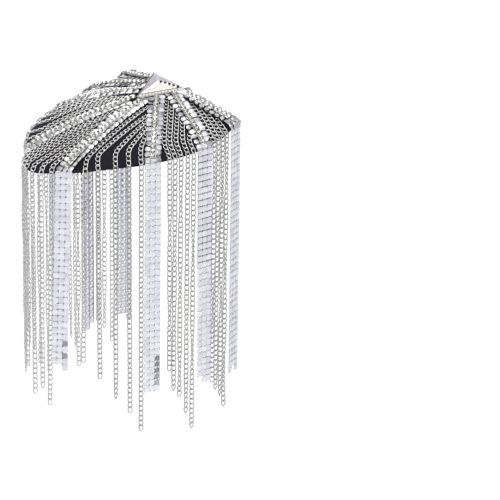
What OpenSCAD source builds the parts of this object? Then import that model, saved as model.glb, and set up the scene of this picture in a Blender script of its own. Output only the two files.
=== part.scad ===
// Fringe epaulette for the wearer's right shoulder.
// +Z is up, +X runs from the arm towards the neck, and the wearer faces -Y.
// The origin is on the underside of the felt board, where the bar pin sits.

/* [Board] */
// Distance from the hub under the plate to the arm tip
board_reach = 140.5; // [136:0.5:152]
// Height from the rim at the arm tip up to the hub
board_rise = 32.8; // [30:0.1:38]
// Wall thickness of the felt
felt_t = 1.6; // [1.2:0.1:2.4]
// Sideways slope of the worn board, front edge down
board_roll = 1.6; // [0:0.1:4]

/* [Plate] */
// Length of the triangular plate along the ridge
plate_l = 36; // [32:1:38]
// Width of the plate along the neck edge
plate_w = 41.2; // [38:0.2:44]
// Thickness of the plate's flat rim
plate_rim = 1; // [0.8:0.1:1.4]
// Height of the low pyramid above the rim
plate_h = 4.9; // [4:0.1:7]
// Thickness of the paved slab on the pyramid's front face
pave_t = 1; // [0.8:0.1:1.4]
// Slope of the plate down towards the arm
plate_pitch = 8.8; // [7:0.1:9]

/* [Strips] */
// Width of a strip of three columns of discs
strip_w = 12.8; // [12:0.1:13]
// Thickness of a strip where it lies on the board, on the ends of the chains
strip_lay_t = 2.2; // [1.8:0.1:2.4]
// Thickness of a strip where it hangs
strip_t = 1; // [0.8:0.1:1.2]
// Width of the row of square crystals on a strip
crystal_w = 3.4; // [3:0.1:3.8]
// Height of the row of crystals
crystal_h = 1.2; // [1:0.1:1.6]

/* [Chains] */
// Diameter of a chain
chain_d = 3.2; // [2.8:0.1:3.4]

/* [Pin] */
// Length of the bar pin under the board
pin_l = 34; // [28:1:38]
// Width of the bar
pin_w = 5; // [4:0.5:6]

/* [Hidden] */
STRIPS = 8;
STRIP_NAMES = ["disc_strip_1", "disc_strip_2", "disc_strip_3", "disc_strip_4",
    "disc_strip_5", "disc_strip_6", "disc_strip_7", "disc_strip_8"];
CRYSTAL_NAMES = ["crystal_row_1", "crystal_row_2", "crystal_row_3", "crystal_row_4",
    "crystal_row_5", "crystal_row_6", "crystal_row_7", "crystal_row_8"];
CHAIN_COUNT = 33;
CHAIN_NAMES = [for (k = [1 : CHAIN_COUNT]) str("chain_", k < 10 ? "0" : "", k)];

FELT = [0.11, 0.11, 0.13];
POLISHED = [0.78, 0.77, 0.82];
PAVED = [0.90, 0.89, 0.82];
DISCS = [0.84, 0.84, 0.88];
CRYSTAL = [0.94, 0.94, 0.91];
CHAIN = [0.74, 0.74, 0.76];
STEEL = [0.68, 0.69, 0.71];

// Clearance between neighbouring pieces, and above the slopes of the felt
gap = 0.3;
lay_gap = 0.5;
// Overlap of shapes that are cut or joined
eps = 0.05;
// Places in the plan, with the plate's neck edge behind the hub
hub_x = 25.4;
neck_edge_x = 30;

// Outline and crown of the board, one row for each direction from the hub. The columns are the angle
// from the arm axis, the radius at the front and at the back as shares of board_reach, the drop to the
// rim at the front and at the back as shares of board_rise, and the straight share of that drop.
RIM = [
    [0, 1.000, 1.000, 1.000, 1.000, 0.60],
    [10.5, 0.911, 0.905, 0.940, 0.940, 0.60],
    [25, 0.747, 0.790, 0.866, 0.811, 0.60],
    [42, 0.626, 0.655, 0.820, 0.768, 0.60],
    [58, 0.570, 0.583, 0.737, 0.774, 0.60],
    [73, 0.541, 0.541, 0.631, 0.713, 0.65],
    [88, 0.520, 0.484, 0.494, 0.575, 0.80],
    [99, 0.505, 0.462, 0.372, 0.400, 0.95],
    [105, 0.502, 0.458, 0.341, 0.352, 1.00],
];
A = 0;
R_FRONT = 1;
R_BACK = 2;
DROP_FRONT = 3;
DROP_BACK = 4;
STRAIGHT = 5;
// How late the rest of the drop comes on the way to the rim
crown_power = 3.3;
// Angle from the arm axis to the board's neck edges
board_span = 105;

// Strips from the front neck corner round to the back one. The columns are the place of the start
// along the plate's side, from its tip to its neck corner, the angle where it crosses the rim, and
// the length that hangs below the rim. Angles below zero are at the back.
START = 0;
EXIT = 1;
HANG = 2;
STRIP_TABLE = [
    [0.94, 99.2, 218],
    [0.72, 72.5, 206],
    [0.40, 42.6, 200],
    [0.15, 11.0, 172],
    [0.09, -11.0, 172],
    [0.36, -44.5, 198],
    [0.62, -73.0, 216],
    [0.94, -98.5, 223],
];

// Chains, one row for each group. They come out from under the arm side of one strip, cross the
// board, turn outwards at a knee and hang over the rim. The columns are that strip, the lengths of
// the first and the last chain's way from the knee to the rim with its angle in plan, the distances
// along the strip's edge where they come out, the angles where they cross the rim, and the lengths
// that hang below it.
FROM = 0;
KNEE = 1;
STARTS = 2;
EXITS = 3;
HANGS = 4;
CHAIN_TABLE = [
    [0, [6, 6, 75], [15.5, 23.5, 32, 41.5], [79.3, 82.5, 86, 89.7], [211, 220, 228, 241]],
    [1, [12, 9, 62], [8, 16.5, 25.5, 35, 48.5], [51.2, 54.2, 57.5, 61.5, 65.2], [185, 204, 211, 228, 244]],
    [2, [10, 12, 52], [14.5, 26, 33, 41, 50.5], [17.2, 21, 27, 32, 37.2], [166, 182, 202, 216, 234]],
    [3, [5, 5, 35], [27, 35.5, 44.5, 54.5, 66.5, 82.5], [-6.2, -3.5, -0.9, 2, 4.8, 7.6],
        [166, 181, 172, 194, 188, 203]],
    [5, [11, 15, 52], [12.5, 18.5, 24.5, 31.5, 41], [-17, -21.4, -27, -32.5, -38.4], [166, 184, 199, 217, 231]],
    [6, [8, 8, 66], [11.5, 20, 28.5, 38, 51.5], [-51.8, -54.8, -58.5, -62.5, -66], [188, 201, 214, 226, 246]],
    [7, [6, 6, 75], [9.5, 20.5, 35], [-80.2, -84.8, -89.8], [213, 222, 238]],
];

function clip(v, low, high) = max(low, min(high, v));
function unit(v) = v / norm(v);
function cross2(a, b) = a[0] * b[1] - a[1] * b[0];

// Smooth curve through one column of a table, level at its first row
function row_below(table, x, i = 0) =
    i >= len(table) - 2 || x < table[i + 1][A] ? i : row_below(table, x, i + 1);
function slope_at(table, col, i) =
    i <= 0 ? 0
    : i >= len(table) - 1 ? (table[i][col] - table[i - 1][col]) / (table[i][A] - table[i - 1][A])
    : (table[i + 1][col] - table[i - 1][col]) / (table[i + 1][A] - table[i - 1][A]);
function smooth(table, col, x) =
    let (
        i = row_below(table, x),
        h = table[i + 1][A] - table[i][A],
        t = clip((x - table[i][A]) / h, 0, 1)
    )
    table[i][col] * (1 + 2 * t) * pow(1 - t, 2)
    + h * slope_at(table, col, i) * t * pow(1 - t, 2)
    + table[i + 1][col] * pow(t, 2) * (3 - 2 * t)
    - h * slope_at(table, col, i + 1) * pow(t, 2) * (1 - t);

// The board's top in plan: the angle is measured from the arm axis towards the front
function rim_radius(a) = board_reach * smooth(RIM, a < 0 ? R_BACK : R_FRONT, abs(a));
function rim_drop(a) = board_rise * smooth(RIM, a < 0 ? DROP_BACK : DROP_FRONT, abs(a));
function fall(a, share) =
    let (k = smooth(RIM, STRAIGHT, abs(a)))
    rim_drop(a) * (k * share + (1 - k) * pow(share, crown_power));
function plan_at(a, r) = [hub_x - r * cos(a), -r * sin(a)];
function rim_at(a) = plan_at(a, rim_radius(a));
function rim_tangent(a) = unit(rim_at(a + 1) - rim_at(a - 1));
function rim_outward(a) = let (t = rim_tangent(a)) [t[1], -t[0]];
hub_z = felt_t + fall(0, hub_x / board_reach);
function board_top(p) =
    let (
        from_hub = p - [hub_x, 0],
        a = atan2(-from_hub[1], -from_hub[0]),
        share = norm(from_hub) / rim_radius(a)
    )
    hub_z - fall(a, share) + p[1] * tan(board_roll);
function on_board(p, up) = [p[0], p[1], board_top(p) + up];

// A closed skin over a grid of points: the top rows first, then the same rows of the underside
module skin(top, bottom) {
    rows = len(top);
    cols = len(top[0]);
    count = rows * cols;
    points = concat([for (row = top) each row], [for (row = bottom) each row]);
    function at(r, c) = r * cols + c;
    faces = concat(
        [for (r = [0 : rows - 2], c = [0 : cols - 2]) each [
            [at(r, c), at(r + 1, c), at(r + 1, c + 1)],
            [at(r, c), at(r + 1, c + 1), at(r, c + 1)],
            [count + at(r, c), count + at(r + 1, c + 1), count + at(r + 1, c)],
            [count + at(r, c), count + at(r, c + 1), count + at(r + 1, c + 1)]]],
        [for (r = [0 : rows - 2]) each [
            [at(r, 0), count + at(r + 1, 0), at(r + 1, 0)],
            [at(r, 0), count + at(r, 0), count + at(r + 1, 0)],
            [at(r, cols - 1), at(r + 1, cols - 1), count + at(r + 1, cols - 1)],
            [at(r, cols - 1), count + at(r + 1, cols - 1), count + at(r, cols - 1)]]],
        [for (c = [0 : cols - 2]) each [
            [at(0, c), at(0, c + 1), count + at(0, c + 1)],
            [at(0, c), count + at(0, c + 1), count + at(0, c)],
            [at(rows - 1, c), count + at(rows - 1, c + 1), at(rows - 1, c + 1)],
            [at(rows - 1, c), count + at(rows - 1, c), count + at(rows - 1, c + 1)]]]
    );
    polyhedron(points, faces, convexity = 6);
}

// Domed felt board, open underneath for the shoulder
board_steps = 72;
board_rings = 12;
hub_hole = 0.5;
module felt_board() {
    grid = [for (i = [0 : board_steps]) let (a = board_span - 2 * board_span * i / board_steps)
        [for (j = [0 : board_rings]) plan_at(a, hub_hole + (rim_radius(a) - hub_hole) * j / board_rings)]];
    color(FELT)
        skin([for (row = grid) [for (p = row) on_board(p, 0)]],
            [for (row = grid) [for (p = row) on_board(p, -felt_t)]]);
}

// Triangular plate at the head of the fan: a flat rim that rises to a low three-sided pyramid
plate_lift = 4;
pyramid_inset = 0.5;
function plate_outline(inset) =
    let (
        half_tip = atan2(plate_w / 2, plate_l),
        reach = plate_l - inset - inset / sin(half_tip),
        half = reach * tan(half_tip)
    )
    [[-inset, half], [-inset - reach, 0], [-inset, -half]];
apex = [-plate_l / 3, 0, plate_rim + plate_h];
module on_plate() {
    translate([neck_edge_x, 0, hub_z + plate_lift])
        rotate([board_roll, -plate_pitch, 0])
            children();
}
module plate() {
    foot = [for (p = plate_outline(pyramid_inset)) [p[0], p[1], plate_rim - gap]];
    color(POLISHED) on_plate() union() {
        linear_extrude(plate_rim) polygon(plate_outline(0));
        polyhedron(concat(foot, [apex]), [[0, 1, 2], [1, 0, 3], [2, 1, 3], [0, 2, 3]]);
    }
}

// Paved slab on the front face of the pyramid, with small notches along its neck ridge
notch_count = 5;
notch_w = 1.7;
notch_depth = 2;
notch_from = 2.2;
notch_pitch = 3.6;
pave_inset = 0.7;
module plate_pave() {
    foot = plate_outline(pyramid_inset);
    tip = [foot[1][0], foot[1][1], plate_rim];
    corner = [foot[2][0], foot[2][1], plate_rim];
    u = unit(corner - tip);
    w = unit(cross(corner - tip, apex - tip));
    v = cross(w, u);
    peak = [(apex - tip) * u, (apex - tip) * v];
    face = [[0, 0], [norm(corner - tip), 0], peak];
    ridge = unit(face[1] - peak);
    inward = [ridge[1], -ridge[0]];
    color(PAVED) on_plate()
        multmatrix([[u[0], v[0], w[0], tip[0]], [u[1], v[1], w[1], tip[1]], [u[2], v[2], w[2], tip[2]], [0, 0, 0, 1]])
            translate([0, 0, gap]) linear_extrude(pave_t) difference() {
                offset(delta = -pave_inset) polygon(face);
                for (k = [0 : notch_count - 1]) {
                    base = peak + ridge * (notch_from + notch_pitch * k) + inward * (pave_inset - eps);
                    polygon([base - ridge * notch_w / 2, base + ridge * notch_w / 2, base + inward * notch_depth]);
                }
            }
}

// Plan of a strip: its middle line from the plate's side to the rim
function side_of(i) = STRIP_TABLE[i][EXIT] < 0 ? -1 : 1;
function strip_start(i) =
    let (f = STRIP_TABLE[i][START])
    [neck_edge_x - plate_l * (1 - f), -side_of(i) * f * plate_w / 2];
function strip_exit(i) = rim_at(STRIP_TABLE[i][EXIT]);
function strip_way(i) = unit(strip_exit(i) - strip_start(i));
function strip_across(i) = let (d = strip_way(i)) [-d[1], d[0]];
function off_line(i, p) = cross2(strip_way(i), p - strip_start(i));

// One lengthwise line of a strip, at a distance to the side of the middle
strip_tuck = 3;
function line_start(i, off) = strip_start(i) - strip_way(i) * strip_tuck + strip_across(i) * off;
function line_end(i, off) = strip_exit(i) + rim_tangent(STRIP_TABLE[i][EXIT]) * off;

// Neighbouring strips are cut to a mitre near the plate: a line starts where its own middle line
// is nearer than the neighbour's
mitre_gap = 0.8;
mitre_most = 0.8;
function neighbour(i, off) = off > 0 ? i - 1 : i + 1;
function mitre(i, off) =
    let (j = neighbour(i, off))
    off == 0 || j < 0 || j >= STRIPS ? 0
    : let (
        s = off_line(j, line_end(i, off)) > 0 ? 1 : -1,
        d0 = s * off_line(j, line_start(i, off)),
        d1 = s * off_line(j, line_end(i, off))
    )
    clip((abs(off) + mitre_gap - d0) / (d1 - d0), 0, mitre_most);

strip_lines = 4;
strip_steps = 9;
bend_drop = 4.5;
function strip_row(i, t, up) = [for (k = [0 : strip_lines])
    let (
        off = strip_w * (k / strip_lines - 0.5),
        t0 = mitre(i, off),
        p = line_start(i, off) + (line_end(i, off) - line_start(i, off)) * (t0 + (1 - t0) * t)
    )
    on_board(p, up)];
function hang_row(i, down, out) =
    let (a = STRIP_TABLE[i][EXIT], z = board_top(strip_exit(i)))
    [for (k = [0 : strip_lines])
        let (p = line_end(i, strip_w * (k / strip_lines - 0.5)) + rim_outward(a) * out)
        [p[0], p[1], (down < 1 ? board_top(line_end(i, strip_w * (k / strip_lines - 0.5))) : z) - down]];
function strip_side(i, up, out) = concat(
    [for (s = [0 : strip_steps]) strip_row(i, s / strip_steps, up)],
    [hang_row(i, -up / 2, out + gap), hang_row(i, bend_drop, out + gap),
        hang_row(i, STRIP_TABLE[i][HANG], out + gap)]);

// Strip of disc mesh, laid from the plate to the rim and hanging from there
module disc_strip(i) {
    color(DISCS) skin(strip_side(i, lay_gap + strip_lay_t, lay_gap + strip_t), strip_side(i, lay_gap, lay_gap));
}

// Row of square crystals along the middle of a strip, on the board only
crystal_from = 0.03;
crystal_to = 0.985;
function crystal_side(i, up) = [for (s = [0 : strip_steps])
    let (
        t = crystal_from + (crystal_to - crystal_from) * s / strip_steps,
        p = strip_start(i) + (strip_exit(i) - strip_start(i)) * t
    )
    [for (off = [-0.5, 0.5]) on_board(p + strip_across(i) * crystal_w * off, up)]];
module crystal_row(i) {
    base = lay_gap + strip_lay_t + gap;
    color(CRYSTAL) skin(crystal_side(i, base + crystal_h), crystal_side(i, base));
}

// Plan of a chain: where it comes out from under its strip, its knee and its place on the rim
chain_clear = strip_w / 2 + lay_gap + chain_d / 2;
function edge_point(i, t) =
    strip_start(i) + strip_way(i) * t - side_of(i) * strip_across(i) * chain_clear;
function clear_of(i, p, exit) =
    let (s = off_line(i, exit) > 0 ? 1 : -1)
    p + strip_across(i) * s * max(0, chain_clear - s * off_line(i, p));
function chain_plan(row, k) =
    let (
        i = row[FROM],
        exit = rim_at(row[EXITS][k]),
        share = k / (len(row[EXITS]) - 1),
        back = row[KNEE][0] + (row[KNEE][1] - row[KNEE][0]) * share,
        knee = exit + back * [cos(row[KNEE][2]), side_of(i) * sin(row[KNEE][2])]
    )
    [edge_point(i, row[STARTS][k]), clear_of(i, clear_of(i + side_of(i), knee, exit), exit), exit];

// Tube of eight sides through a list of points, with the widthwise direction of each ring
tube_sides = 8;
function ring(p, way, side) =
    let (up = cross(side, way))
    [for (k = [0 : tube_sides - 1])
        let (a = 360 * (k + 0.5) / tube_sides)
        p + chain_d / 2 / cos(180 / tube_sides) * (side * cos(a) + up * sin(a))];
module tube(path, sides) {
    last = len(path) - 1;
    rings = [for (i = [0 : last])
        ring(path[i], unit(path[min(i + 1, last)] - path[max(i - 1, 0)]), sides[i])];
    n = tube_sides;
    faces = concat(
        [[for (k = [0 : n - 1]) k]],
        [for (i = [0 : last - 1], k = [0 : n - 1]) each [
            [i * n + k, (i + 1) * n + k, (i + 1) * n + (k + 1) % n],
            [i * n + k, (i + 1) * n + (k + 1) % n, i * n + (k + 1) % n]]],
        [[for (k = [n - 1 : -1 : 0]) last * n + k]]
    );
    polyhedron([for (r = rings) each r], faces, convexity = 6);
}

run_steps = 6;
knee_steps = 3;
knee_rest = 0.3;
rim_rise = 0.3;
module chain(row, k) {
    plan = chain_plan(row, k);
    lift = 2 * gap + chain_d / 2;
    out = rim_outward(row[EXITS][k]);
    run = [for (s = [0 : run_steps]) plan[0] + (plan[1] - plan[0]) * s / run_steps];
    turn = [for (s = [1 : knee_steps]) plan[1] + (plan[2] - plan[1]) * s / (knee_steps + knee_rest)];
    rim_z = board_top(plan[2]);
    over = plan[2] + out * lift;
    path = concat(
        [for (p = concat(run, turn)) on_board(p, lift)],
        [for (down = [-rim_rise * chain_d, chain_d, row[HANGS][k] / 2, row[HANGS][k]])
            [over[0], over[1], rim_z - down]]);
    flat = concat(
        [for (p = run) let (d = unit(plan[1] - plan[0])) [-d[1], d[0], 0]],
        [for (p = turn) let (d = unit(plan[2] - plan[1])) [-d[1], d[0], 0]],
        [for (s = [1 : 4]) [-out[1], out[0], 0]]);
    color(CHAIN) tube(path, flat);
}
CHAIN_LIST = [for (row = CHAIN_TABLE, k = [0 : len(row[EXITS]) - 1]) [row, k]];

// Bar pin on the underside, one plain piece
pin_t = 1.2;
pin_wire_d = 1.2;
pin_wire_drop = 3;
pin_post = 0.42;
slope_step = 10;
module bar_pin() {
    ridge_slope = atan((board_top([slope_step, 0]) - board_top([-slope_step, 0])) / (2 * slope_step));
    color(STEEL) translate([0, 0, -2 * gap]) rotate([board_roll, -ridge_slope, 0]) union() {
        translate([-pin_l / 2, -pin_w / 2, -pin_t]) cube([pin_l, pin_w, pin_t]);
        for (x = [-pin_post, pin_post])
            translate([x * pin_l, 0, -pin_t - pin_wire_drop])
                cylinder(h = pin_wire_drop + pin_t / 2, d = 2 * pin_wire_d, $fn = 24);
        translate([-pin_post * pin_l, 0, -pin_t - pin_wire_drop + pin_wire_d / 2])
            rotate([0, 90, 0])
                cylinder(h = 2 * pin_post * pin_l, d = pin_wire_d, $fn = 24);
    }
}

felt_board();
plate();
plate_pave();
bar_pin();
for (i = [0 : STRIPS - 1]) {
    disc_strip(i);
    crystal_row(i);
}
for (k = [0 : CHAIN_COUNT - 1])
    chain(CHAIN_LIST[k][0], CHAIN_LIST[k][1]);
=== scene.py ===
import math
import random

import bmesh
import bpy
import numpy as np
from mathutils import Matrix, Vector


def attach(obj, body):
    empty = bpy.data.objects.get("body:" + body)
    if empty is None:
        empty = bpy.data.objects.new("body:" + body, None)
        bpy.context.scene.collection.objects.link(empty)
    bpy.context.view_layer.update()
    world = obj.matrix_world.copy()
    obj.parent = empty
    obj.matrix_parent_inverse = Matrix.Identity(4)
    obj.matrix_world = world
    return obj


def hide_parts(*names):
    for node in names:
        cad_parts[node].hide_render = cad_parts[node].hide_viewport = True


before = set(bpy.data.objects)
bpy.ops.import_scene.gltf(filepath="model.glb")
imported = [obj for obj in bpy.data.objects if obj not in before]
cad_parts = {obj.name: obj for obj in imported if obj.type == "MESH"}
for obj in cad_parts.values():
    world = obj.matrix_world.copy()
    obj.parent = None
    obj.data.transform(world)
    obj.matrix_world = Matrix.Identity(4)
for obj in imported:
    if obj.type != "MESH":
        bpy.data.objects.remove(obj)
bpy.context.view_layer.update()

SEED = 41
RNG = random.Random(SEED)
MM = 0.001

# The board, the strips and the chains in millimetres, with the rules of the CAD source
REACH = 140.5
RISE = 32.8
FELT_T = 1.6
ROLL_DEG = 1.6
ROLL = math.tan(math.radians(ROLL_DEG))
PLATE_L = 36.0
PLATE_W = 41.2
HUB_X = 25.4
NECK_X = 30.0
CROWN_POWER = 3.3
SPAN = 105.0
# Rim of the board: angle from the arm axis, radius at the front and back, drop at the front and back,
# and the straight share of the drop. Angles below zero are at the back.
RIM = [
    (0, 1.000, 1.000, 1.000, 1.000, 0.60),
    (10.5, 0.911, 0.905, 0.940, 0.940, 0.60),
    (25, 0.747, 0.790, 0.866, 0.811, 0.60),
    (42, 0.626, 0.655, 0.820, 0.768, 0.60),
    (58, 0.570, 0.583, 0.737, 0.774, 0.60),
    (73, 0.541, 0.541, 0.631, 0.713, 0.65),
    (88, 0.520, 0.484, 0.494, 0.575, 0.80),
    (99, 0.505, 0.462, 0.372, 0.400, 0.95),
    (105, 0.502, 0.458, 0.341, 0.352, 1.00),
]
FRONT, BACK, FRONT_DROP, BACK_DROP, STRAIGHT = 1, 2, 3, 4, 5
# Strips: place of the start along the plate's side, angle at the rim, and length that hangs
STRIPS = [
    (0.94, 99.2, 218),
    (0.72, 72.5, 206),
    (0.40, 42.6, 200),
    (0.15, 11.0, 172),
    (0.09, -11.0, 172),
    (0.36, -44.5, 198),
    (0.62, -73.0, 216),
    (0.94, -98.5, 223),
]
# Chains: the strip before the group, the first and last distance of the knees from the rim and their
# angle, then for each chain its start along that strip, its angle at the rim and the length that hangs
CHAINS = [
    (0, [6, 6, 75], [15.5, 23.5, 32, 41.5], [79.3, 82.5, 86, 89.7], [211, 220, 228, 241]),
    (1, [12, 9, 71], [4, 14, 24.5, 34.5, 48], [51.2, 54.2, 57.5, 61.5, 65.2], [185, 204, 211, 228, 244]),
    (2, [10, 12, 52], [14.5, 26, 33, 41, 50.5], [17.2, 21, 27, 32, 37.2], [166, 182, 202, 216, 234]),
    (3, [5, 5, 35], [21, 33, 46, 59, 73, 87], [-6.2, -3.5, -0.9, 2, 4.8, 7.6],
     [166, 181, 172, 194, 188, 203]),
    (5, [11, 15, 52], [12.5, 18.5, 24.5, 31.5, 41], [-17, -21.4, -27, -32.5, -38.4],
     [166, 184, 199, 217, 231]),
    (6, [8, 8, 66], [11.5, 20, 28.5, 38, 51.5], [-51.8, -54.8, -58.5, -62.5, -66],
     [188, 201, 214, 226, 246]),
    (7, [6, 6, 75], [9.5, 20.5, 35], [-80.2, -84.8, -89.8], [213, 222, 238]),
]
STRIP_W = 12.8
COLUMN = 4.27
CHAIN_D = 3.2
LAY_GAP = 0.1
CHAIN_CLEAR = STRIP_W / 2 + LAY_GAP + CHAIN_D / 2
# How far the chains reach in under their strip's edge, and the strips under the plate
NESTLE = 0.9
STRIP_TUCKS = (0.5, 3.0, 3.0, 3.0, 3.0, 3.0, 3.0, 3.0)
# Where two strips cross near the plate, their outer columns start later: the gap that they leave, and
# the largest share of a column that is left out
MITRE_GAP = -0.6
MITRE_MOST = 0.8
# Round of a chain's knee, in millimetres and as a share of the way to the rim, and the chain's tuck
# under the strip
KNEE_ROUND = 4.5
KNEE_SHARE = 0.45
TUCK_OFF = 5.4
TUCK_LIFT = 0.95
TUCK_MOST = 16.0
TUCK_STEEP = 1.5
LEAST_SLANT = 0.1
# The turn over the rim, in degrees, and the points along each stretch of a line
RIM_TURN = (0, 25, 50, 75)
RIM_FALL = 1.0
TUCK_STEPS, WAY_STEPS, KNEE_STEPS, END_STEPS, HANG_STEPS = 8, 50, 12, 8, 40
STRIP_STEPS = 60
EASINGS = 3
WAY_REACH = 1.5
# How high each strip rides near the plate and along its way, and how much one side is lifted
PLATE_RAISE = [3.2, 2.4, 1.6, 0.1, 0.0, 1.0, 0.4, 1.6]
PROUD = [2.1, 0.9, 0.6, 0.4, 0.6, 1.2, 2.2, 1.0]
SLANT = [-0.4, 0.5, 0.0, 0.0, 0.0, 0.0, 0.2, 0.4]
RISE_OVER = 34.0
RIM_EASE = 6.0
# How far the lower end of a strip and of some chains lies aside from its rim
LEANS = [-1.2, -1.5, 0.4, 5.0, 0.6, 0.0, 0.0, 0.0]
CHAIN_LEANS = {10: 3.0, 20: 3.2}


def sin(a):
    return math.sin(math.radians(a))


def cos(a):
    return math.cos(math.radians(a))


def clamped(value, low, high):
    return min(max(value, low), high)


def unit(v):
    v = np.asarray(v, float)
    return v / np.linalg.norm(v)


def slope_at(col, i):
    low, high = max(i - 1, 0), min(i + 1, len(RIM) - 1)
    return 0.0 if i == 0 else (RIM[high][col] - RIM[low][col]) / (RIM[high][0] - RIM[low][0])


def smooth(col, x):
    i = max(k for k in range(len(RIM) - 1) if k == 0 or x >= RIM[k][0])
    h = RIM[i + 1][0] - RIM[i][0]
    t = clamped((x - RIM[i][0]) / h, 0.0, 1.0)
    return (RIM[i][col] * (1 + 2 * t) * (1 - t) ** 2 + h * slope_at(col, i) * t * (1 - t) ** 2
            + RIM[i + 1][col] * t * t * (3 - 2 * t) - h * slope_at(col, i + 1) * t * t * (1 - t))


def rim_radius(a):
    return REACH * smooth(BACK if a < 0 else FRONT, abs(a))


def fall(a, share):
    k = smooth(STRAIGHT, abs(a))
    drop = RISE * smooth(BACK_DROP if a < 0 else FRONT_DROP, abs(a))
    return drop * (k * share + (1 - k) * share ** CROWN_POWER)


def plan_at(a, r):
    return np.array([HUB_X - r * cos(a), -r * sin(a)])


def rim_at(a):
    return plan_at(a, rim_radius(a))


def rim_tangent(a):
    return unit(rim_at(a + 1) - rim_at(a - 1))


def rim_outward(a):
    t = rim_tangent(a)
    return np.array([t[1], -t[0]])


HUB_Z = FELT_T + fall(0, HUB_X / REACH)


def board_top(p):
    x, y = p[0] - HUB_X, p[1]
    a = math.degrees(math.atan2(-y, -x))
    return HUB_Z - fall(a, math.hypot(x, y) / rim_radius(a)) + y * ROLL


def side_of(i):
    return -1 if STRIPS[i][1] < 0 else 1


def strip_start(i):
    f = STRIPS[i][0]
    return np.array([NECK_X - PLATE_L * (1 - f), -side_of(i) * f * PLATE_W / 2])


def strip_way(i):
    return unit(rim_at(STRIPS[i][1]) - strip_start(i))


def strip_across(i):
    d = strip_way(i)
    return np.array([-d[1], d[0]])


def off_line(i, p):
    d, q = strip_way(i), p - strip_start(i)
    return d[0] * q[1] - d[1] * q[0]


def line_start(i, off):
    return strip_start(i) - strip_way(i) * STRIP_TUCKS[i] + strip_across(i) * off


def line_end(i, off):
    return rim_at(STRIPS[i][1]) + rim_tangent(STRIPS[i][1]) * off


def mitre(i, off):
    j = i - 1 if off > 0 else i + 1
    if off == 0 or j < 0 or j >= len(STRIPS):
        return 0.0
    s = 1 if off_line(j, line_end(i, off)) > 0 else -1
    d0, d1 = s * off_line(j, line_start(i, off)), s * off_line(j, line_end(i, off))
    return clamped((abs(off) + MITRE_GAP - d0) / (d1 - d0), 0.0, MITRE_MOST)


def clear_of(i, p, end):
    s = 1 if off_line(i, end) > 0 else -1
    return p + strip_across(i) * s * max(0.0, CHAIN_CLEAR - s * off_line(i, p))


def over_rim(end, out, lift, aside, drop_z, lean):
    """The rounded turn over the rim and the straight way down from it."""
    z = board_top(end)
    turn = [(*(end + out * aside * sin(f)), z + lift * cos(f)) for f in RIM_TURN]
    along = np.array([out[1], -out[0]]) * lean
    down = [(*(end + out * aside + along * t), z - RIM_FALL + (drop_z - z + RIM_FALL) * t)
            for t in np.linspace(0, 1, HANG_STEPS)]
    return turn + down


def eased(points):
    """The same line with its corners rounded."""
    p = np.array(points)
    for _ in range(EASINGS):
        p[1:-1] = (p[:-2] + 2 * p[1:-1] + p[2:]) / 4
    return p


class Route:
    """A line in space that is read by its distance from the lower end."""

    def __init__(self, points):
        self.p = np.array(points)[::-1]
        self.s = np.concatenate([[0], np.cumsum(np.linalg.norm(np.diff(self.p, axis=0), axis=1))])
        self.length = self.s[-1]

    def at(self, s):
        return np.array([np.interp(s, self.s, self.p[:, k]) for k in range(3)])

    def way(self, s):
        return unit(self.at(max(s - WAY_REACH, 0)) - self.at(min(s + WAY_REACH, self.length)))


def chain_route(row, k, lift, lean):
    """From under its strip to the lower end: across the board, round a knee and over the rim."""
    first, (back, back_last, knee_angle), starts, exits, hangs = row
    a = exits[k]
    end = rim_at(a)
    start = (strip_start(first) + strip_way(first) * starts[k]
             - side_of(first) * strip_across(first) * (CHAIN_CLEAR - NESTLE))
    back += (back_last - back) * k / (len(exits) - 1)
    knee = end + back * np.array([cos(knee_angle), side_of(first) * sin(knee_angle)])
    knee = clear_of(first, clear_of(first + side_of(first), knee, end), end)
    way = unit(knee - start)
    slant = max(abs(np.dot(way, strip_across(first))), LEAST_SLANT)
    tuck = min(TUCK_MOST, (CHAIN_CLEAR - TUCK_OFF) / slant)
    bend = min(KNEE_ROUND, KNEE_SHARE * np.linalg.norm(end - knee))
    before, after = knee - way * bend, knee + unit(end - knee) * bend
    points = []
    for t in np.linspace(-tuck, 0, TUCK_STEPS)[:-1]:
        p = start + way * t
        points.append((*p, board_top(p) + lift + (TUCK_LIFT - lift) * min(1, -t / tuck * TUCK_STEEP)))
    plan = [start + (before - start) * t for t in np.linspace(0, 1, WAY_STEPS)[:-1]]
    plan += [before * (1 - t) ** 2 + knee * 2 * t * (1 - t) + after * t * t
             for t in np.linspace(0, 1, KNEE_STEPS)]
    plan += [after + (end - after) * t for t in np.linspace(0, 1, END_STEPS)[1:-1]]
    points += [(*p, board_top(p) + lift) for p in plan]
    points += over_rim(end, rim_outward(a), lift, lift, board_top(end) - hangs[k], lean)
    return Route(eased(points))


def raised(i, p, off=0.0):
    """How far a strip rises towards the plate and over the chains beside it."""
    near = max(0.0, 1 - np.linalg.norm(p - strip_start(i)) / RISE_OVER)
    far = clamped(np.linalg.norm(p - rim_at(STRIPS[i][1])) / RIM_EASE, 0, 1)
    return PLATE_RAISE[i] * near ** 2 + (PROUD[i] + side_of(i) * SLANT[i] * off / COLUMN) * far


def column_route(i, off, lift, aside):
    a, hang = STRIPS[i][1:]
    begin, end = line_start(i, off), line_end(i, off)
    t0 = mitre(i, off)
    plan = [begin + (end - begin) * t for t in np.linspace(t0, 1, STRIP_STEPS)[:-1]]
    points = [(*p, board_top(p) + lift + raised(i, p, off)) for p in plan]
    points += over_rim(end, rim_outward(a), lift, aside, board_top(rim_at(a)) - hang, LEANS[i])
    return Route(eased(points))


def linked(name, data):
    """A new object in the scene."""
    made = bpy.data.objects.new(name, data)
    bpy.context.scene.collection.objects.link(made)
    return made


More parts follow.
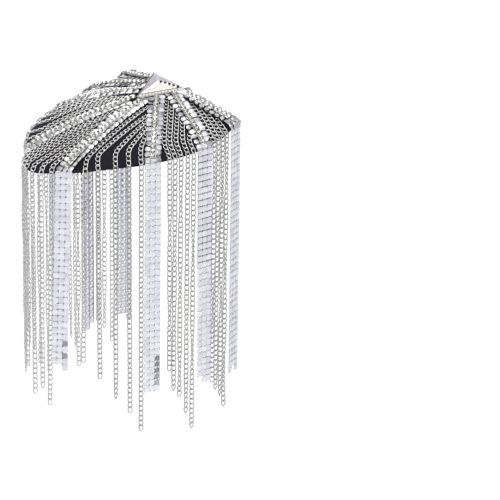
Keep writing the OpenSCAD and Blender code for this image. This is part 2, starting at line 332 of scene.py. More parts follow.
class Stamp:
    """A mesh from stamped copies of small templates."""

    def __init__(self):
        self.verts, self.faces, self.mats, self.tones, self.count = [], [], [], [], 0

    def add(self, template, place, slot=0, tone=0.5):
        verts, faces = template
        m = np.array(place)
        self.verts.append((verts @ m[:3, :3].T + m[:3, 3]) * MM)
        self.faces.extend([tuple(v + self.count for v in f) for f in faces])
        self.mats.extend([slot] * len(faces))
        self.tones.extend([tone] * len(verts))
        self.count += len(verts)

    def build(self, name, materials, smooth_shade=True):
        mesh = bpy.data.meshes.new(name)
        mesh.from_pydata(np.concatenate(self.verts).tolist(), [], self.faces)
        tones = mesh.attributes.new("tone", "FLOAT", "POINT")
        tones.data.foreach_set("value", self.tones)
        mesh.polygons.foreach_set("material_index", self.mats)
        mesh.polygons.foreach_set("use_smooth", [smooth_shade] * len(self.faces))
        mesh.update()
        for m in materials:
            mesh.materials.append(m)
        return linked(name, mesh)


def finish_piece(piece, node):
    """The piece's body and the CAD node that it stands for."""
    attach(piece, "root")
    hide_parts(node)


def place_at(origin, side, normal, way):
    """A placement with local X to the side, Y along the normal and Z along the way."""
    m = np.eye(4)
    m[:3, 0], m[:3, 1], m[:3, 2], m[:3, 3] = side, normal, way, origin
    return m


def frame_of(way, side_hint):
    way = unit(way)
    side = unit(side_hint - way * np.dot(side_hint, way))
    return side, np.cross(way, side), way


def rotation(axis, degrees):
    return Matrix.Rotation(math.radians(degrees), 4, axis)


def turned(m, axis, degrees):
    """The placement turned about its own local axis."""
    return m @ np.array(rotation(axis, degrees))


def tube_loop(centre, radius, sides):
    """A closed tube round a loop of points."""
    n = len(centre)
    verts, faces = [], []
    for i in range(n):
        t = unit(centre[(i + 1) % n] - centre[i - 1])
        u = unit(np.cross(t, (0, 1, 0)))
        v = np.cross(u, t)
        for k in range(sides):
            a = 360 * (k + 0.5) / sides
            verts.append(centre[i] + radius * (u * cos(a) + v * sin(a)))
    for i in range(n):
        j = (i + 1) % n
        for k in range(sides):
            m = (k + 1) % sides
            faces.append((i * sides + k, j * sides + k, j * sides + m, i * sides + m))
    return np.array(verts), faces


def lathe(profile, segments, rx, rz, power):
    """A round piece from a profile of (radius, height), closed at both ends. It faces +Y.

    A power above 2 makes its outline squarer.
    """
    verts, faces = [], []
    for r, h in profile:
        for k in range(segments):
            c, s = cos(360 * k / segments), sin(360 * k / segments)
            x = math.copysign(abs(c) ** (2 / power), c)
            z = math.copysign(abs(s) ** (2 / power), s)
            verts.append((r * rx * x, h, r * rz * z))
    for j in range(len(profile) - 1):
        for k in range(segments):
            m = (k + 1) % segments
            faces.append((j * segments + k, (j + 1) * segments + k, (j + 1) * segments + m, j * segments + m))
    verts.append((0, profile[0][1], 0))
    verts.append((0, profile[-1][1], 0))
    top, low = len(verts) - 2, len(verts) - 1
    last = (len(profile) - 1) * segments
    for k in range(segments):
        m = (k + 1) % segments
        faces.append((top, k, m))
        faces.append((low, last + m, last + k))
    return np.array(verts, float), faces


def box(low, high, narrow=1.0):
    """A box between two corners. Its face in +Y may be narrower."""
    mid_x, mid_z = (low[0] + high[0]) / 2, (low[2] + high[2]) / 2
    verts = [(mid_x + (x - mid_x) * k, y, mid_z + (z - mid_z) * k)
             for y, k in ((low[1], 1.0), (high[1], narrow))
             for x, z in ((low[0], low[2]), (high[0], low[2]), (high[0], high[2]), (low[0], high[2]))]
    faces = [(0, 1, 2, 3), (7, 6, 5, 4), (0, 4, 5, 1), (1, 5, 6, 2), (2, 6, 7, 3), (3, 7, 4, 0)]
    return np.array(verts, float), faces


def slab(half_x, half_z, low, high):
    return box((-half_x, low, -half_z), (half_x, high, half_z))


def joined(parts):
    """One template from several."""
    verts, faces = [], []
    for points, corners in parts:
        faces += [tuple(len(verts) + v for v in f) for f in corners]
        verts += list(points)
    return np.array(verts), faces


# The middle of the noise, which the colours and the roughness are spread over
NOISE_LOW, NOISE_HIGH = 0.3, 0.7


class Look:
    """A Principled material whose colour, roughness and relief come from procedural noise."""

    def __init__(self, name):
        self.mat = bpy.data.materials.new(name)
        self.mat.use_nodes = True
        self.nodes, self.links = self.mat.node_tree.nodes, self.mat.node_tree.links
        self.shader = self.nodes["Principled BSDF"]
        self.coords = self.nodes.new("ShaderNodeTexCoord").outputs["Object"]

    def set(self, **sockets):
        for key, value in sockets.items():
            self.shader.inputs[key.replace("_", " ")].default_value = value
        return self

    def noise(self, size_mm, detail, roughness=0.55):
        mapping = self.nodes.new("ShaderNodeMapping")
        mapping.inputs["Scale"].default_value = [1 / (size_mm * MM)] * 3
        self.links.new(self.coords, mapping.inputs["Vector"])
        tex = self.nodes.new("ShaderNodeTexNoise")
        tex.inputs["Scale"].default_value = 1.0
        tex.inputs["Detail"].default_value = detail
        tex.inputs["Roughness"].default_value = roughness
        self.links.new(mapping.outputs["Vector"], tex.inputs["Vector"])
        return tex.outputs["Fac"]

    def ramp(self, source, stops):
        ramp = self.nodes.new("ShaderNodeValToRGB")
        ramp.color_ramp.elements[0].position = stops[0][0]
        ramp.color_ramp.elements[0].color = (*stops[0][1], 1)
        ramp.color_ramp.elements[1].position = stops[-1][0]
        ramp.color_ramp.elements[1].color = (*stops[-1][1], 1)
        for place, colour in stops[1:-1]:
            ramp.color_ramp.elements.new(place).color = (*colour, 1)
        self.links.new(source, ramp.inputs["Fac"])
        return ramp.outputs["Color"]

    def colour(self, source):
        self.links.new(source, self.shader.inputs["Base Color"])
        return self

    def multiplied(self, first, second):
        mix = self.nodes.new("ShaderNodeMix")
        mix.data_type = "RGBA"
        mix.blend_type = "MULTIPLY"
        mix.inputs["Factor"].default_value = 1.0
        self.links.new(first, mix.inputs["A"])
        self.links.new(second, mix.inputs["B"])
        return mix.outputs["Result"]

    def rough(self, source, low, high):
        span = self.nodes.new("ShaderNodeMapRange")
        span.inputs["From Min"].default_value = NOISE_LOW
        span.inputs["From Max"].default_value = NOISE_HIGH
        span.inputs["To Min"].default_value = low
        span.inputs["To Max"].default_value = high
        self.links.new(source, span.inputs["Value"])
        self.links.new(span.outputs["Result"], self.shader.inputs["Roughness"])
        return self

    def relief(self, source, height_mm):
        bump = self.nodes.new("ShaderNodeBump")
        bump.inputs["Strength"].default_value = 1.0
        bump.inputs["Distance"].default_value = height_mm * MM
        self.links.new(source, bump.inputs["Height"])
        self.links.new(bump.outputs["Normal"], self.shader.inputs["Normal"])
        return self

    def tone(self):
        attribute = self.nodes.new("ShaderNodeAttribute")
        attribute.attribute_name = "tone"
        return attribute.outputs["Fac"]


# Disc colour by tone: it carries painted light and shade strip by strip, and the darker discs
TONE_SHADES = [(0.0, (0.25, 0.25, 0.27)), (0.5, (0.60, 0.60, 0.62)), (1.0, (1, 1, 1))]


def metal_look(name, dark, light, rough_low, rough_high, grain_mm, relief_mm, toned=False):
    """A metal with a fine grain. A toned one is darkened disc by disc, by the tone of each copy."""
    look = Look(name).set(Metallic=1.0)
    spots = look.noise(grain_mm, 4)
    colour = look.ramp(spots, [(NOISE_LOW, dark), (NOISE_HIGH, light)])
    if toned:
        colour = look.multiplied(colour, look.ramp(look.tone(), TONE_SHADES))
    look.colour(colour)
    look.rough(look.noise(grain_mm * 3, 3), rough_low, rough_high)
    look.relief(look.noise(grain_mm * 0.7, 2), relief_mm)
    return look


felt_look = Look("felt_look").set(Roughness=0.95, Sheen_Weight=0.10, Sheen_Roughness=0.5,
                                  Sheen_Tint=(0.5, 0.48, 0.6, 1), Specular_IOR_Level=0.15)
fibres = felt_look.noise(0.35, 6, 0.7)
felt_look.colour(felt_look.multiplied(
    felt_look.ramp(fibres, [(NOISE_LOW, (0.004, 0.004, 0.006)), (NOISE_HIGH, (0.024, 0.022, 0.032))]),
    felt_look.ramp(felt_look.noise(9, 2),
                   [(NOISE_LOW, (0.75, 0.75, 0.78)), (NOISE_HIGH, (1.1, 1.08, 1.15))])))
felt_look.relief(fibres, 0.25)
disc_look = metal_look("disc_look", (0.80, 0.80, 0.87), (0.90, 0.90, 0.96), 0.20, 0.38, 1.4, 0.02, toned=True)
# The discs that lie on the board have their own, lighter and whiter copy of the disc metal: painted light
lit_laid_look = metal_look("lit_laid_look", (0.84, 0.84, 0.86), (0.97, 0.97, 0.98), 0.20, 0.40, 2.2, 0.12, toned=True)
shade_look = metal_look("shade_look", (0.018, 0.018, 0.022), (0.06, 0.06, 0.07), 0.4, 0.6, 0.5, 0.01)
shaded_joint_look = metal_look("shaded_joint_look", (0.10, 0.10, 0.11), (0.24, 0.24, 0.25), 0.25, 0.45, 0.5, 0.01)
# The chain metal comes in lit and shaded copies: lighter on the board, darker where it hangs, and paler for
# some hanging chains: painted light and shade
chain_look = metal_look("chain_look", (0.56, 0.555, 0.55), (0.82, 0.815, 0.81), 0.16, 0.32, 1.8, 0.015)
shaded_hung_chain_look = metal_look(
    "shaded_hung_chain_look", (0.37, 0.366, 0.364), (0.62, 0.616, 0.612), 0.16, 0.32, 1.8, 0.015)
pale_lit_chain_look = metal_look(
    "pale_lit_chain_look", (0.52, 0.513, 0.52), (0.78, 0.77, 0.78), 0.20, 0.36, 1.8, 0.015)
cup_look = metal_look("cup_look", (0.55, 0.54, 0.53), (0.80, 0.79, 0.77), 0.12, 0.28, 0.8, 0.01)
plate_look = metal_look("plate_look", (0.44, 0.425, 0.455), (0.52, 0.505, 0.535), 0.26, 0.40, 3.0, 0.008)
plate_look.set(Specular_Tint=(0.45, 0.45, 0.46, 1))
shadow_edge_look = metal_look("shadow_edge_look", (0.06, 0.058, 0.064), (0.11, 0.107, 0.116), 0.40, 0.55, 3.0, 0.008)
pave_look = metal_look("pave_look", (0.62, 0.60, 0.56), (0.80, 0.78, 0.73), 0.30, 0.48, 0.7, 0.04)
notch_shade_look = metal_look("notch_shade_look", (0.010, 0.010, 0.012), (0.030, 0.030, 0.034), 0.35, 0.55, 0.5, 0.02)
pin_look = metal_look("pin_look", (0.50, 0.50, 0.51), (0.70, 0.70, 0.71), 0.28, 0.45, 0.9, 0.01)
foil_look = metal_look("foil_look", (0.62, 0.61, 0.59), (0.80, 0.79, 0.77), 0.02, 0.08, 0.9, 0.004)

crystal_look = Look("crystal_look").set(Roughness=0.01, IOR=1.55, Transmission_Weight=1.0)
crystal_look.colour(crystal_look.ramp(
    crystal_look.noise(1.5, 1), [(0.35, (0.95, 0.955, 0.93)), (0.65, (1, 1, 0.985))]))
stone_look = Look("stone_look").set(Roughness=0.12, IOR=1.6, Transmission_Weight=0.08)
stone_look.colour(stone_look.ramp(
    stone_look.noise(2.0, 1), [(0.35, (0.76, 0.74, 0.70)), (0.65, (0.95, 0.94, 0.89))]))

# Camera of the photograph, panned so that the object lies where it lies in the picture: degrees,
# millimetres and pixels
TURN, TILT, DISTANCE, FOCAL_PX, PAN_PX = 40.0, 24.9, 2400.0, 3000.0, 119.0
AIM_Z, AIM_RIGHT, AIM_UP = 9.5, 31.6, 135.6
SENSOR, PICTURE_PX = 36, 500
right = np.array([cos(TURN), -sin(TURN), 0])
up = np.array([sin(TILT) * sin(TURN), sin(TILT) * cos(TURN), cos(TILT)])
ahead = np.array([cos(TILT) * sin(TURN), cos(TILT) * cos(TURN), -sin(TILT)])
aim = np.array([NECK_X, 0, AIM_Z]) - (AIM_RIGHT * right + AIM_UP * up)
pan = math.atan(PAN_PX / FOCAL_PX)
cam_x = math.cos(pan) * right - math.sin(pan) * ahead
cam_z = -(math.cos(pan) * ahead + math.sin(pan) * right)
camera = linked("camera", bpy.data.cameras.new("camera"))
eye = (aim - DISTANCE * ahead) * MM
camera.matrix_world = Matrix([[cam_x[k], up[k], cam_z[k], eye[k]] for k in range(3)] + [[0, 0, 0, 1]])
camera.data.sensor_width = SENSOR
camera.data.lens = SENSOR * FOCAL_PX / PICTURE_PX
camera.data.clip_start, camera.data.clip_end = 0.1, 50
bpy.context.scene.camera = camera

# Felt board: a domed sheet with rounded edges
RINGS, STEPS = 30, 150
# The first ring's share of the radius, and how far inside the rim the outermost height is read
HUB_SHARE, RIM_INSET = 0.006, 0.01
# The rounded edge: height as a share of the half thickness, and reach outwards
EDGE_ROUND = 0.5
FELT_EDGE = [(1.0, 0.0), (0.55, 0.35), (0.0, EDGE_ROUND), (-0.55, 0.35), (-1.0, 0.0)]


def felt_mesh():
    angles = np.linspace(SPAN, -SPAN, STEPS + 1)
    shares = [HUB_SHARE + (1 - HUB_SHARE) * (j / RINGS) for j in range(RINGS + 1)]

    def point(a, share, up_share, out):
        r = rim_radius(a)
        p = plan_at(a, r * share - EDGE_ROUND + out)
        z = board_top(plan_at(a, min(r * share, r - RIM_INSET)))
        return (p[0], p[1], z - FELT_T * (1 - up_share) / 2)

    top = [[point(a, s, 1.0, 0.0) for s in shares] for a in angles]
    low = [[point(a, s, -1.0, 0.0) for s in shares] for a in angles]
    rows = len(angles)
    rim = [[point(a, 1.0, h, o) for h, o in FELT_EDGE[1:-1]] for a in angles]
    line = [top[i] + rim[i] + low[i][::-1] for i in range(rows)]
    n = len(line[0])
    verts = [v for row in line for v in row]
    faces = []
    for i in range(rows - 1):
        for k in range(n):
            m = (k + 1) % n
            faces.append((i * n + k, i * n + m, (i + 1) * n + m, (i + 1) * n + k))
    for i, flip in ((0, 1), (rows - 1, -1)):
        for j in range(RINGS):
            a, b = i * n + j, i * n + j + 1
            c, d = i * n + n - 2 - j, i * n + n - 1 - j
            faces.append((a, d, c, b)[::flip])
        k = [i * n + RINGS + m for m in range(len(FELT_EDGE))]
        faces.append(tuple(k[::-flip]))
    return np.array(verts, float), faces


stamp = Stamp()
stamp.add(felt_mesh(), np.eye(4))
felt = stamp.build("felt_cover", [felt_look.mat])
finish_piece(felt, "felt_board")

# Curb chains: twisted oval links, each through the next
PITCH, LINK_W, WIRE, LINK_TWIST, LINK_POWER = 4.4, 4.1, 0.92, 0.54, 2.5
LINK_SIDES, WIRE_SIDES = 16, 6
CHAIN_LIFT, LAID_WIRE, CHAIN_END = 1.4, 0.78, 1.0
# Random drift of a chain's lower end, length and lean of its long twist, the choice of how far it twists
# to each side, and the jitter of each link
CHAIN_DRIFT, TWIST_LENGTH, TWIST_LEAN, SWINGS, LINK_JITTER = 0.5, (60, 120), 14, (14, 24, 34, 48), 3
# The twist is full this far below the rim, and has this share on the board
TWIST_FULL, LAID_TWIST = 40, 0.25
# The chains behind strip 4 are painted paler where they hang, painted light, and so is the one just in front
# of it
PALE_LIT_CHAINS = {10, *range(15, 34)}


def link_template(wire):
    half, wide = (PITCH + WIRE) / 2, (LINK_W - WIRE) / 2
    centre = []
    for k in range(LINK_SIDES):
        c, s = cos(360 * (k + 0.5) / LINK_SIDES), sin(360 * (k + 0.5) / LINK_SIDES)
        x = wide * math.copysign(abs(c) ** (2 / LINK_POWER), c)
        z = half * math.copysign(abs(s) ** (2 / LINK_POWER), s)
        centre.append(np.array([x, -LINK_TWIST * 2 * s * c, z]))
    return tube_loop(centre, wire / 2, WIRE_SIDES)


HUNG_LINK, LAID_LINK = link_template(WIRE), link_template(LAID_WIRE)
number = 0
for row in CHAINS:
    for k in range(len(row[3])):
        number += 1
        route = chain_route(row, k, CHAIN_LIFT, RNG.gauss(0, CHAIN_DRIFT) + CHAIN_LEANS.get(number, 0))
        stamp = Stamp()
        out = rim_outward(row[3][k])
        across = np.array([-out[1], out[0], 0.0])
        phase, length = RNG.uniform(0, 360), RNG.uniform(*TWIST_LENGTH)
        lean = RNG.uniform(-TWIST_LEAN, TWIST_LEAN)
        swing = RNG.choice(SWINGS)
        hang = row[4][k]
        s = (PITCH + 2 * WIRE) / 2
        while s < route.length - CHAIN_END:
            way = route.way(s)
            hint = across if s < hang else np.array([-way[1], way[0], 0.0])
            m = place_at(route.at(s), *frame_of(way, hint))
            loose = clamped((hang - s) / TWIST_FULL, LAID_TWIST, 1)
            m = turned(m, "Z", loose * (lean + swing * sin(phase + 360 * s / length)))
            m = turned(m, "Z", RNG.uniform(-LINK_JITTER, LINK_JITTER))
            if s > hang:
                stamp.add(LAID_LINK, m)
            else:
                stamp.add(HUNG_LINK, m, 2 if number in PALE_LIT_CHAINS else 1)
            s += PITCH
        chain = stamp.build(f"curb_chain_{number:02d}",
                            [chain_look.mat, shaded_hung_chain_look.mat, pale_lit_chain_look.mat])
        finish_piece(chain, f"chain_{number:02d}")

# Disc mesh strips: three columns of overlapping domed discs with small rings between them
DISC_PITCH, DISC_SIDES = 5.4, 16
LAID_PROFILE = [(0.46, 0.26), (0.80, 0.20), (0.90, 0.06), (0.95, 0.12), (1.0, 0.02), (1.0, -0.16)]
HUNG_PROFILE = [(0.40, 0.24), (0.72, 0.20), (0.90, 0.10), (0.95, 0.13), (1.0, 0.04), (1.0, -0.10)]
OPEN_DISC = lathe(LAID_PROFILE, DISC_SIDES, 2.45, 2.02, 2.6)
CLOSE_DISC = lathe(LAID_PROFILE, DISC_SIDES, 2.5, 2.5, 3.6)
HUNG_DISC = lathe(HUNG_PROFILE, DISC_SIDES, 2.15, 2.74, 3.4)
FULL_DISC = lathe(HUNG_PROFILE, DISC_SIDES, 2.17, 2.76, 4.2)
LINED_DISC = lathe(HUNG_PROFILE, DISC_SIDES, 2.16, 2.64, 4.6)
DARKER_DISC_SHAPE = lathe(HUNG_PROFILE, DISC_SIDES, 2.0, 2.3, 2.4)
BACKING = slab(2.25, 2.69, -0.38, -0.26)
LINER = slab(2.25, 2.69, -0.52, -0.42)
JOINT_X, JOINT_Z, JOINT_WIRE, JOINT_LIFT = 0.75, 0.62, 0.17, 0.02
JOINT = tube_loop([np.array([JOINT_X * cos(a), 0.0, JOINT_Z * sin(a)]) for a in range(0, 360, 45)],
                  JOINT_WIRE, 4)
# The first strips have painted shade in the gaps between their discs on the board: a near-black sheet behind
# them, except near the rim
SHADED_GAP_STRIPS, RIM_LIGHT = 5, 7.0
# One strip hangs with painted shade, a dark sheet seen between its rows, above this height, and one has
# fuller discs
LINED_STRIP, LINED_FROM, FULL_STRIP = 1, 100.0, 3
# The discs of the middle column end this far above the turn, where the crystals begin
BEND = 4.5
LAID_TILT, HUNG_TILT = (22, 20, 11, 12, 13, 15, 18, 22), 4.0
# Random spread of a disc's tilt, its tone, and its turns about the way and about its normal
LAID_SPREAD, HUNG_SPREAD = (9, 0.16, 8, 9), (1.6, 0.06, 2.2, 3)
STRIP_LIFT, STRIP_ASIDE, STRIP_END = 1.6, 1.3, 1.5
# Discs left out at the lower end of each column
SHORT_ENDS = [(0, 1, 0), (1, 0, 0), (0, 0, 0), (1, 1, 0), (0, 1, 0), (0, 0, 1), (1, 0, 0), (0, 1, 1)]
# Darker discs: strip, column and row from the lower end, with their tone
DARKER_DISCS = {(2, 1, 1): 0.45, (2, 1, 2): 0.3, (2, 1, 3): 0.12, (2, 1, 4): 0.1, (2, 1, 5): 0.1,
             (3, 1, 2): 0.2, (3, 1, 4): 0.2, (3, -1, 32): 0.15}
# Mean tone of each strip, where it lies and where it hangs, and the tones behind the discs: painted light and
# shade, each strip lighter or darker by how the light falls on it
LAID_TONE = (0.58, 0.50, 0.22, 0.92, 0.88, 0.92, 0.72, 0.70)
HUNG_TONE = (0.82, 0.88, 0.95, 0.90, 1.0, 1.0, 1.0, 1.0)
LAID_BACK_TONE, HUNG_BACK_TONE, LINER_TONE, JOINT_TONE = 0.7, 0.95, 0.85, 0.8

# Crystals in their cups: sizes and pitch, the random turns of each, and the end of the row
CUP_W, CUP_PITCH, CUP_LIFT = 4.3, 4.5, 1.6
CUP_FLOOR, CUP_IN, CUP_RIM, CUP_WALL = 0.25, 0.2, 1.25, 0.14
PRONG, PRONG_INSET, PRONG_TOP, PRONG_NARROW = 0.30, 0.28, 1.75, 0.55
CUP_TURNS = (2.5, 3.5, 2)
ROW_SHARE, ROW_START = 0.985, 0.2
# The cut: its width, the width of a side and of the top table, and the heights of the table, the
# girdle's two edges, the pavilion's waist and its point
CUT, CUT_SIDE, TABLE_SHARE, WAIST_SHARE = 4.0, 0.62, 1.05, 0.5
TABLE_Y, GIRDLE_TOP, GIRDLE_LOW, WAIST_Y, POINT_Y = 2.05, 1.45, 1.25, 0.75, 0.35


def crystal_template():
    """A square brilliant in two shells: the clear crown and the foiled pavilion."""
    half = CUT / 2
    corner = CUT_SIDE * half
    girdle = [(half, -corner), (half, corner), (corner, half), (-corner, half),
              (-half, corner), (-half, -corner), (-corner, -half), (corner, -half)]
    table = [(corner * cos(45 * k) * TABLE_SHARE, corner * sin(45 * k) * TABLE_SHARE) for k in range(8)]
    crown = [(x, TABLE_Y, z) for x, z in table] + [(x, GIRDLE_TOP, z) for x, z in girdle]
    crown += [(x, GIRDLE_LOW, z) for x, z in girdle]
    faces = [tuple(range(7, -1, -1))]
    for k in range(8):
        m = (k + 1) % 8
        faces.append((k, m, 8 + m))
        faces.append((k, 8 + m, 8 + k))
        faces.append((8 + k, 8 + m, 16 + m, 16 + k))
    c, s = WAIST_SHARE * cos(22.5), WAIST_SHARE * sin(22.5)
    waist = [(x * c - z * s, WAIST_Y, x * s + z * c) for x, z in girdle]
    foil = [(x, GIRDLE_LOW, z) for x, z in girdle] + waist + [(0, POINT_Y, 0)]
    foil_faces = []
    for k in range(8):
        m = (k + 1) % 8
        foil_faces.append((k, m, 8 + k))
        foil_faces.append((m, 8 + m, 8 + k))
        foil_faces.append((8 + k, 8 + m, 16))
    return (np.array(crown, float), faces), (np.array(foil, float), foil_faces)


def cup_template():
    """A square cup with a prong at each corner."""
    h, w = CUP_W / 2, CUP_WALL
    parts = [box((-h, 0, -h), (h, CUP_FLOOR, h))]
    for sx, sz, wx, wz in ((0, -1, h, w), (0, 1, h, w), (-1, 0, w, h), (1, 0, w, h)):
        cx, cz = sx * (h - w), sz * (h - w)
        parts.append(box((cx - wx, CUP_IN, cz - wz), (cx + wx, CUP_RIM, cz + wz)))
    for sx in (-1, 1):
        for sz in (-1, 1):
            cx, cz = sx * (h - PRONG_INSET), sz * (h - PRONG_INSET)
            parts.append(box((cx - PRONG, CUP_IN, cz - PRONG), (cx + PRONG, PRONG_TOP, cz + PRONG),
                             PRONG_NARROW))
    return joined(parts)


CROWN, FOIL = crystal_template()
CUP = cup_template()
for i in range(len(STRIPS)):
    hang = STRIPS[i][2]
    out = rim_outward(STRIPS[i][1])
    hang_side = np.array([-out[1], out[0], 0.0])
    board_side = np.array([*strip_across(i), 0.0])
    lean = math.degrees(math.atan(SLANT[i] / COLUMN))
    stamp = Stamp()
    for c in (-1, 0, 1):
        route = column_route(i, c * COLUMN, STRIP_LIFT, STRIP_ASIDE)
        row = SHORT_ENDS[i][c + 1]
        s = DISC_PITCH * (0.5 + row)
        while s < route.length - STRIP_END:
            laid = s > hang
            lined = i == LINED_STRIP and s > LINED_FROM
            hint = hang_side if s < hang else board_side
            if c or s < hang + BEND:
                m = place_at(route.at(s), *frame_of(route.way(s), hint))
                if laid:
                    m = turned(m, "Z", side_of(i) * lean)
                spread = LAID_SPREAD if laid else HUNG_SPREAD
                tilt = (LAID_TILT[i] if laid else HUNG_TILT) + RNG.gauss(0, spread[0])
                usual = RNG.gauss((LAID_TONE if laid else HUNG_TONE)[i], spread[1])
                tone = DARKER_DISCS.get((i, c, row), clamped(usual, 0, 1))
                disc = turned(turned(m, "X", tilt), "Z", RNG.gauss(0, spread[2]))
                disc = turned(disc, "Y", RNG.gauss(0, spread[3]))
                if laid:
                    stamp.add(OPEN_DISC if c < 0 else CLOSE_DISC, disc, 3, tone)
                elif (i, c, row) in DARKER_DISCS:
                    stamp.add(DARKER_DISC_SHAPE, disc, 0, tone)
                else:
                    usual_disc = FULL_DISC if i == FULL_STRIP else HUNG_DISC
                    stamp.add(LINED_DISC if lined else usual_disc, disc, 0, tone)
                # Painted shade: a near-black sheet behind the discs, seen in the gaps between them
                if i < SHADED_GAP_STRIPS and s > hang + RIM_LIGHT:
                    stamp.add(BACKING, m, 2)
                elif laid:
                    stamp.add(BACKING, m, 0, LAID_BACK_TONE)
                elif lined:
                    # Painted shade: a dark sheet behind the gaps between the rows, with a lighter liner
                    # behind it
                    stamp.add(BACKING, m, 1, HUNG_BACK_TONE)
                    stamp.add(LINER, m, 0, LINER_TONE)
                else:
                    stamp.add(BACKING, m, 0, HUNG_BACK_TONE)
            if s + DISC_PITCH < route.length and (c or s < hang):
                between = s + DISC_PITCH / 2
                side, normal, way = frame_of(route.way(between), hint)
                joint = place_at(route.at(between) + JOINT_LIFT * normal, side, normal, way)
                # The joints on the board and on the lined strip take a dark colour, painted shade; the others
                # take the disc colour
                stamp.add(JOINT, joint, int(laid or lined), JOINT_TONE)
            s += DISC_PITCH
            row += 1
    strip = stamp.build(f"disc_mesh_{i + 1}",
                        [disc_look.mat, shaded_joint_look.mat, shade_look.mat, lit_laid_look.mat])
    finish_piece(strip, f"disc_strip_{i + 1}")

    stones, cups = Stamp(), Stamp()
    start, end = strip_start(i), rim_at(STRIPS[i][1])
    line = [start + (end - start) * t for t in np.linspace(0.0, ROW_SHARE, STRIP_STEPS)]
    route = Route([(*p, board_top(p) + CUP_LIFT + raised(i, p)) for p in line])
    s = CUP_W / 2 + ROW_START
    while s < route.length - CUP_W / 2:
        m = place_at(route.at(s), *frame_of(route.way(s), board_side))
        m = turned(m, "Z", side_of(i) * lean + RNG.gauss(0, CUP_TURNS[0]))
        m = turned(turned(m, "X", RNG.gauss(0, CUP_TURNS[1])), "Y", RNG.gauss(0, CUP_TURNS[2]))
        stones.add(CROWN, m)
        stones.add(FOIL, m, 1)
        cups.add(CUP, m)
        s += CUP_PITCH
    finish_piece(stones.build(f"crystals_{i + 1}", [crystal_look.mat, foil_look.mat], False),
                 f"crystal_row_{i + 1}")
    finish_piece(cups.build(f"crystal_cups_{i + 1}", [cup_look.mat], False),
                 f"crystal_row_{i + 1}")

# Plate: the CAD shapes with soft edges, and stones on the paved face
MERGE, FLAT_ANGLE, SHARP_ANGLE, SLIVER, BEVEL_SEGMENTS = 0.01, 2, 15, 0.05, 3


def softened(node, name, look, width_mm):
    """A copy of a CAD node with its sharp edges rounded."""
    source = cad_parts[node]
    bm = bmesh.new()
    bm.from_mesh(source.data)
    bm.transform(source.matrix_world)
    bmesh.ops.remove_doubles(bm, verts=bm.verts, dist=MERGE * MM)
    bmesh.ops.dissolve_limit(bm, angle_limit=math.radians(FLAT_ANGLE), verts=bm.verts, edges=bm.edges)
    sharp = [e for e in bm.edges if e.is_manifold and e.calc_face_angle(0) > math.radians(SHARP_ANGLE)]
    bmesh.ops.bevel(bm, geom=sharp, offset=width_mm * MM, segments=BEVEL_SEGMENTS, profile=0.5,
                    affect="EDGES", clamp_overlap=True)
    bmesh.ops.remove_doubles(bm, verts=bm.verts, dist=SLIVER * MM)
    bmesh.ops.dissolve_degenerate(bm, dist=SLIVER * MM, edges=bm.edges)
    mesh = bpy.data.meshes.new(name)
    bm.to_mesh(mesh)
    bm.free()
    mesh.materials.append(look.mat)
    return linked(name, mesh)


plate_body = softened("plate", "plate_body", plate_look, 0.28)
finish_piece(plate_body, "plate")
finish_piece(softened("plate_pave", "pave_face", pave_look, 0.16), "plate_pave")
finish_piece(softened("bar_pin", "pin_body", pin_look, 0.2), "bar_pin")

PLATE_LIFT, PLATE_PITCH, PLATE_RIM, PLATE_H, PYRAMID_INSET = 4.0, 8.8, 1.0, 4.9, 0.5
EDGE_REACH = 1.3
PAVE_T, GAP = 1.0, 0.3
NOTCHES, NOTCH_W, NOTCH_DEPTH, NOTCH_FROM, NOTCH_PITCH, NOTCH_INSET = 5, 2.9, 2.9, 2.6, 3.6, 1.3
NOTCH_PROUD = 0.45
# Stones: their pitch, width and heights, how deep they sit, how far they keep from the field's sides as a
# share of their width, and the place and size of the clear spot at each notch
STONE_PITCH, STONE_W, STONE_WALL, STONE_TOP, STONE_SUNK, STONE_MARGIN = 2.6, 2.35, 0.28, 0.75, 0.1, 0.62
CLEAR_INSET, CLEAR_RADIUS, STONE_TURN, EDGE_TURN, STONE_REACH = 0.7, 1.9, 2.5, 3, 20
EDGE_FROM, EDGE_DOWN, EDGE_UP, EDGE_TILT = 2.6, -0.5, -0.1, 48.0

on_plate = np.array(Matrix.Translation((NECK_X, 0, HUB_Z + PLATE_LIFT))
                    @ rotation("Y", -PLATE_PITCH) @ rotation("X", ROLL_DEG))
half_tip = math.atan2(PLATE_W / 2, PLATE_L)
foot_reach = PLATE_L - PYRAMID_INSET - PYRAMID_INSET / math.sin(half_tip)
tip = np.array([-PYRAMID_INSET - foot_reach, 0, PLATE_RIM])
corner = np.array([-PYRAMID_INSET, -foot_reach * math.tan(half_tip), PLATE_RIM])
apex = np.array([-PLATE_L / 3, 0, PLATE_RIM + PLATE_H])
# The back edge of the plate is darker than its faces: painted shadow, for the shade under the plate's back
# edge
back_way = unit(corner * np.array([1, -1, 1]) - tip)
plate_body.data.materials.append(shadow_edge_look.mat)
off_plate = np.linalg.inv(on_plate)
for face in plate_body.data.polygons:
    off = (off_plate @ np.array([*(np.array(face.center) / MM), 1.0]))[:3] - tip
    if np.linalg.norm(off - back_way * np.dot(off, back_way)) < EDGE_REACH:
        face.material_index = 1
face_u = unit(corner - tip)
face_w = unit(np.cross(corner - tip, apex - tip))
face_v = np.cross(face_w, face_u)
on_face = on_plate @ place_at(tip, face_u, face_v, face_w)
peak = np.array([np.dot(apex - tip, face_u), np.dot(apex - tip, face_v)])
outline = [np.zeros(2), np.array([np.linalg.norm(corner - tip), 0.0]), peak]
ridge = unit(outline[1] - peak)
inward = np.array([ridge[1], -ridge[0]])


